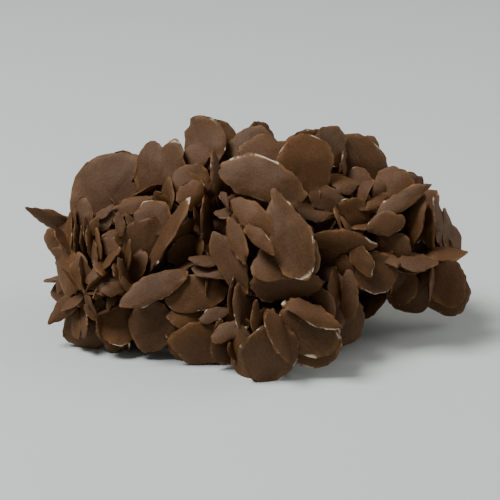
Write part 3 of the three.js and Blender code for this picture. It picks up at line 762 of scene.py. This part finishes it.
# %% Mark the knocked rims
KNOCKED = [
    [-8, 41, 3, 43, 1.3], [3, 43, 12, 39.5, 1.2], [12, 44.5, 20, 48.5, 1.4], [20, 48.5, 28, 51.5, 1.2],
    [28, 51.5, 35, 51, 1], [20, 3, 27, 3.5, 1.8], [26, 10, 28.5, 3, 1.3], [18, -15, 25, -12, 1.3],
    [25, -12, 30, -8, 1.3], [1, -20.5, 8, -24, 1.3], [8, -24, 15, -24, 1.2], [-1.5, -35, -0.5, -25, 1.2],
    [3.5, -38, 4.5, -32, 1.2], [-0.5, -49, 0, -54, 1], [6, -61.5, 12, -62, 1], [10, -41, 13, -43, 1.2],
    [14, -46, 17, -49, 1.2], [15, -36.5, 21, -44, 1.2], [21, -44, 31, -50.5, 1.4],
    [21, -50.5, 28, -53, 1.2],
    [33, -34, 42, -39, 2.2], [56, -21, 62.5, -18, 1.2], [53, -1.5, 55, -5, 1.5],
    [55, -5, 57, -11.5, 1.5],
    [40, 6, 57, 4, 1.8], [61, 19, 66, 23.5, 1.2], [72, 27, 76, 28, 1.4], [64, 9, 68, 9, 1],
    [53, 51, 58, 46, 1.2], [-16, 56, -13, 52, 1.2], [-16, 43, -15.7, 37, 1.2], [-28.5, 22, -26, 25, 1.8],
    [-43, -7, -42, -5, 1.2], [-49, -26.5, -43, -25, 1.2], [-50, 22, -42, 21.5, 1.2],
    [-36, -24, -30, -27, 1.2], [-25, -27, -18, -28, 1.2], [-62, -43.5, -53, -43, 1.3],
    [-53, -37, -48, -43.5, 1.3], [95, -9, 97, -17, 1.2], [97, -19, 92, -24, 1.2],
    [96, -1, 99.5, -1, 1.5],
    [83, 23, 86, 18, 1.2],
]
RIM_FROM = 0.88     # only points this near a rim are knocked
DEEPEST = -15       # and none further back than this
FAR_OFF = 22        # lines further off than this are skipped
REACH_FADE = 1.5    # the damage is whole up to half the reach, and gone at one and a half


def knocked_at(shown):
    """How strongly a rim that shows at this place of the face is knocked, from 0 to 1."""
    amount = 0
    for r, u, end_r, end_u, reach in KNOCKED:
        if abs(shown.x - r) + abs(shown.y - u) < FAR_OFF:
            start = Vector((r, u))
            along = Vector((end_r, end_u)) - start
            share = min(1, max(0, (shown - start).dot(along) / along.length_squared))
            amount = max(amount, REACH_FADE - (shown - start - along * share).length / reach)
    return min(1, amount)


LEAN = STAND.inverted()
strength = []
for vertex, rim in zip(rose.data.vertices, rose.data.attributes["rim"].data):
    place = LEAN @ vertex.co / MM
    seen = rim.value > RIM_FROM and place.z > DEEPEST
    strength.append(knocked_at(place.xy / (1 - place.z * DRAW_IN)) if seen else 0)
knocked = rose.data.attributes.new("knocked", "FLOAT", "POINT")
knocked.data.foreach_set("value", strength)
print(sum(1 for amount in strength if amount > 0), "points in knocked rims")

# %% [markdown]
# ## Worn feet
#
# The lowest tips are worn flat where they touch the table: a bisect at the table's height cuts them
# off and closes the cut. A Decimate modifier then drops the edges that the shape doesn't need, which
# the union left behind, and the blades' gentle faces are shaded smooth while their rims stay sharp.

# %% Wear the feet flat
KEPT_SHARE = 0.62       # of the triangles
SHARP_ANGLE = 38        # edges bent by more than this stay sharp
edit(rose)
bpy.ops.mesh.bisect(plane_co=(0, 0, 0), plane_no=(0, 0, 1), use_fill=True, clear_inner=True)
done()
modify(rose, "TRIANGULATE")
modify(rose, "DECIMATE", ratio=KEPT_SHARE)
only(rose)
bpy.ops.object.shade_smooth_by_angle(angle=math.radians(SHARP_ANGLE))
print("stone:", triangles(rose), "triangles")
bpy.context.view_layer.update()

# %% [markdown]
# ## The stone's material
#
# Sand rose gypsum is a warm milk-chocolate brown with a satin, faintly sandy surface. The colour
# drifts in soft patches. From blade to blade it runs at random between greyish, a painted lit sheen,
# and ochre, a painted shaded glow. Fine streaks follow the length of each blade: they are a noise on
# the blank's own unwrapped coordinates, stretched along one axis. Rims are a warmer tan, partly from
# wear and partly a painted glow of light passing through them, and knocked rims show cream-white
# crystal. The nodes are wired through a small class, so that a mask can be written as an expression.

# %% A socket class for shader maths
class Socket:
    """A shader socket that takes part in Python expressions."""

    tree = None

    def __init__(self, socket):
        self.socket = socket

    @classmethod
    def node(cls, kind, settings=None, **values):
        """Make a node, set it, then fill its inputs: i0 is the first input, i1 the next."""
        made = cls.tree.nodes.new(kind)
        for name, value in (settings or {}).items():
            setattr(made, name, value)
        for name, value in values.items():
            numbered = name[0] == "i" and name[1:].isdigit()
            socket = made.inputs[int(name[1:]) if numbered else name]
            cls.fill(socket, value)
        return made

    @classmethod
    def fill(cls, socket, value):
        """Give an input a value or a link."""
        if isinstance(value, Socket):
            cls.tree.links.new(value.socket, socket)
        else:
            socket.default_value = value

    @classmethod
    def math(cls, operation, first, second):
        """The result of one Math node."""
        made = cls.node("ShaderNodeMath", {"operation": operation}, i0=first, i1=second)
        return Socket(made.outputs[0])

    def __add__(self, other):
        return Socket.math("ADD", self, other)

    def __mul__(self, other):
        return Socket.math("MULTIPLY", self, other)

    def __sub__(self, other):
        return Socket.math("SUBTRACT", self, other)

    def __rsub__(self, other):
        return Socket.math("SUBTRACT", other, self)

    def clip(self, low, high):
        """0 below low, 1 above high, straight between."""
        made = Socket.node(
            "ShaderNodeMapRange", {"clamp": True}, i0=self, i1=low, i2=high, i3=0.0, i4=1.0
        )
        return Socket(made.outputs[0])


def mix_color(factor, first, second):
    """Mix two colours, each a tuple or a socket."""
    made = Socket.node("ShaderNodeMix", {"data_type": "RGBA"}, i0=factor, i6=first, i7=second)
    return Socket(made.outputs[2])


def noise(scale, detail=3.0, roughness=0.5, coords=None):
    """Noise on the object's own coordinates, or others, with its features scale per metre."""
    made = Socket.node(
        "ShaderNodeTexNoise", i0=coords or COORDS, i2=scale, i3=detail, i4=roughness
    )
    return Socket(made.outputs[0])


def attribute(name):
    """A number that the mesh carries."""
    return Socket(Socket.node("ShaderNodeAttribute", {"attribute_name": name}).outputs["Fac"])


# %% Start the gypsum
DEEP = (0.04, 0.0135, 0.003, 1)
# GREYISH_PAINTED_SHEEN stands for a painted lit sheen and OCHRE_PAINTED_GLOW for a painted shaded glow;
# each blade gets a mix of the two at random.
GREYISH_PAINTED_SHEEN = (0.088, 0.0435, 0.019, 1)
OCHRE_PAINTED_GLOW = (0.098, 0.038, 0.0085, 1)
TAN = (0.27, 0.13, 0.045, 1)
CREAM = (0.62, 0.5, 0.37, 1)

gypsum = bpy.data.materials.new("gypsum")
gypsum.use_nodes = True
Socket.tree = gypsum.node_tree
shader = Socket.tree.nodes["Principled BSDF"]
COORDS = Socket(Socket.node("ShaderNodeTexCoord").outputs["Object"])
rim = attribute("rim")
tone = attribute("tone")

# %% The body: patches with a painted rim glow, per-blade painted sheen and glow, streaks and grains
PATCH_SCALE = 60
STREAK_SCALE = (5.0, 70.0, 1.0)
STREAK_AMOUNT = 0.8
GRAIN_SCALE = 1400
GRAIN_AMOUNT = 0.55

patches = noise(PATCH_SCALE)
# The patches and tone are the stone's own drift of colour. The rim term is painted: it makes blade
# middles darker and rims lighter, as a glow of light through the thin rims.
drift_and_rim_glow = (patches + tone * 0.35 + rim * 0.3 - 0.38).clip(0.0, 0.95)
# Per blade, by its tone: a hue between greyish, a painted lit sheen, and ochre, a painted shaded glow.
painted_sheen_glow_hue = mix_color((tone * 1.2 - 0.1).clip(0.0, 1.0), GREYISH_PAINTED_SHEEN, OCHRE_PAINTED_GLOW)
body = mix_color(drift_and_rim_glow, DEEP, painted_sheen_glow_hue)
unit = Socket(Socket.node("ShaderNodeTexCoord").outputs["UV"])
along = Socket(Socket.node("ShaderNodeMapping", i0=unit, i3=STREAK_SCALE).outputs[0])
streaks = noise(1.0, 3.0, 0.6, along)
body = mix_color((streaks - 0.5) * STREAK_AMOUNT, body, TAN)
grains = noise(GRAIN_SCALE, 2.0, 0.7)
body = mix_color((grains - 0.5) * GRAIN_AMOUNT + 0.1, body, TAN)

# %% [markdown]
# The rims come last. Wear, together with a painted glow of light through the thin rims, turns parts of
# them tan, small chips show cream crystal here and there, and where a rim is knocked the cream runs on
# along it, broken up by a fine noise.

# %% The rims: wear and painted glow, chips and knocks
WEAR_AND_GLOW_SCALE = 160
WEAR_AND_GLOW_AMOUNT = 0.5
CHIP_SCALE = 130
KNOCK_SCALE = 500
CREAM_AMOUNT = 0.85

# Part of this tan is wear and part is a painted glow of light passing through the thin rims.
wear_and_rim_glow = rim.clip(0.82, 1.0) * noise(WEAR_AND_GLOW_SCALE, 2.0).clip(0.4, 0.62)
body = mix_color(wear_and_rim_glow * WEAR_AND_GLOW_AMOUNT, body, TAN)
chips = rim.clip(0.9, 0.965) * noise(CHIP_SCALE, 4.0, 0.65).clip(0.6, 0.66)
fresh = attribute("knocked") * 1.3 + noise(KNOCK_SCALE, 4.0, 0.65) * 2.4 - 1.95
fresh = fresh.clip(0.0, 0.35)
chips = chips + fresh * rim.clip(0.92, 0.98) - chips * fresh
body = mix_color(chips * CREAM_AMOUNT, body, CREAM)

# %% The surface: satin, with sandy bump
COARSE_SCALE = 240
FINE_SCALE = 1300
BUMP_STRENGTH = 0.5
BUMP_HEIGHT = 0.0006
SPECULAR = 0.25

Socket.fill(shader.inputs["Base Color"], body)
Socket.fill(shader.inputs["Roughness"], 0.72 - patches * 0.2 + chips * 0.2)
relief = noise(COARSE_SCALE, 4.0, 0.6) * 0.6 + noise(FINE_SCALE, 3.0, 0.65) * 0.4 + streaks * 0.35
bump = Socket.node("ShaderNodeBump", Strength=BUMP_STRENGTH, Distance=BUMP_HEIGHT, Height=relief)
Socket.fill(shader.inputs["Normal"], Socket(bump.outputs["Normal"]))
shader.inputs["Specular IOR Level"].default_value = SPECULAR
rose.data.materials.clear()
rose.data.materials.append(gypsum)
print(len(Socket.tree.nodes), "nodes in the gypsum")

# %% [markdown]
# ## The stage
#
# The stone stands on a plain pale floor that runs well past the view. A soft light high at the
# left stands for a window. A broad weak one at the right and a dim pale room keep the shadows open.

# %% Floor
FLOOR_SIZE = 6
FLOOR_COLOR = (0.58, 0.61, 0.58, 1)
FLOOR_ROUGHNESS = 0.6

bpy.ops.mesh.primitive_plane_add(size=FLOOR_SIZE)
floor = bpy.context.object
floor.name = "floor"
pale = bpy.data.materials.new("pale_floor")
pale.use_nodes = True
finish = pale.node_tree.nodes["Principled BSDF"].inputs
finish["Base Color"].default_value = FLOOR_COLOR
finish["Roughness"].default_value = FLOOR_ROUGHNESS
floor.data.materials.append(pale)

# %% Lights and world
LIT_MIDDLE = Vector((0, 0, 0.04))
ROOM_COLOR = (0.85, 0.9, 0.95, 1)
ROOM_LIGHT = 0.22


def soft_light(name, place, size, power, color):
    """A square area light that points at the middle of the stone."""
    data = bpy.data.lights.new(name, "AREA")
    data.size = size
    data.energy = power
    data.color = color
    lamp = bpy.data.objects.new(name, data)
    bpy.context.scene.collection.objects.link(lamp)
    lamp.location = place
    aim = LIT_MIDDLE - Vector(place)
    lamp.rotation_euler = aim.to_track_quat("-Z", "Y").to_euler()


soft_light("window", (-0.75, -0.1, 1.45), 0.6, 36, (0.97, 0.98, 1.0))
soft_light("side", (1.3, 0.3, 0.9), 1.0, 11, (1.0, 0.97, 0.93))
world = bpy.data.worlds.new("room")
world.use_nodes = True
world.node_tree.nodes["Background"].inputs["Color"].default_value = ROOM_COLOR
world.node_tree.nodes["Background"].inputs["Strength"].default_value = ROOM_LIGHT
bpy.context.scene.world = world
print("floor, two lights and a room around the stone")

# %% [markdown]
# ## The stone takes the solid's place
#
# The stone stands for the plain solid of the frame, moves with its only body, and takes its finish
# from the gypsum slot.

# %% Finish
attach(rose, "root")
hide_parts("sand_rose")
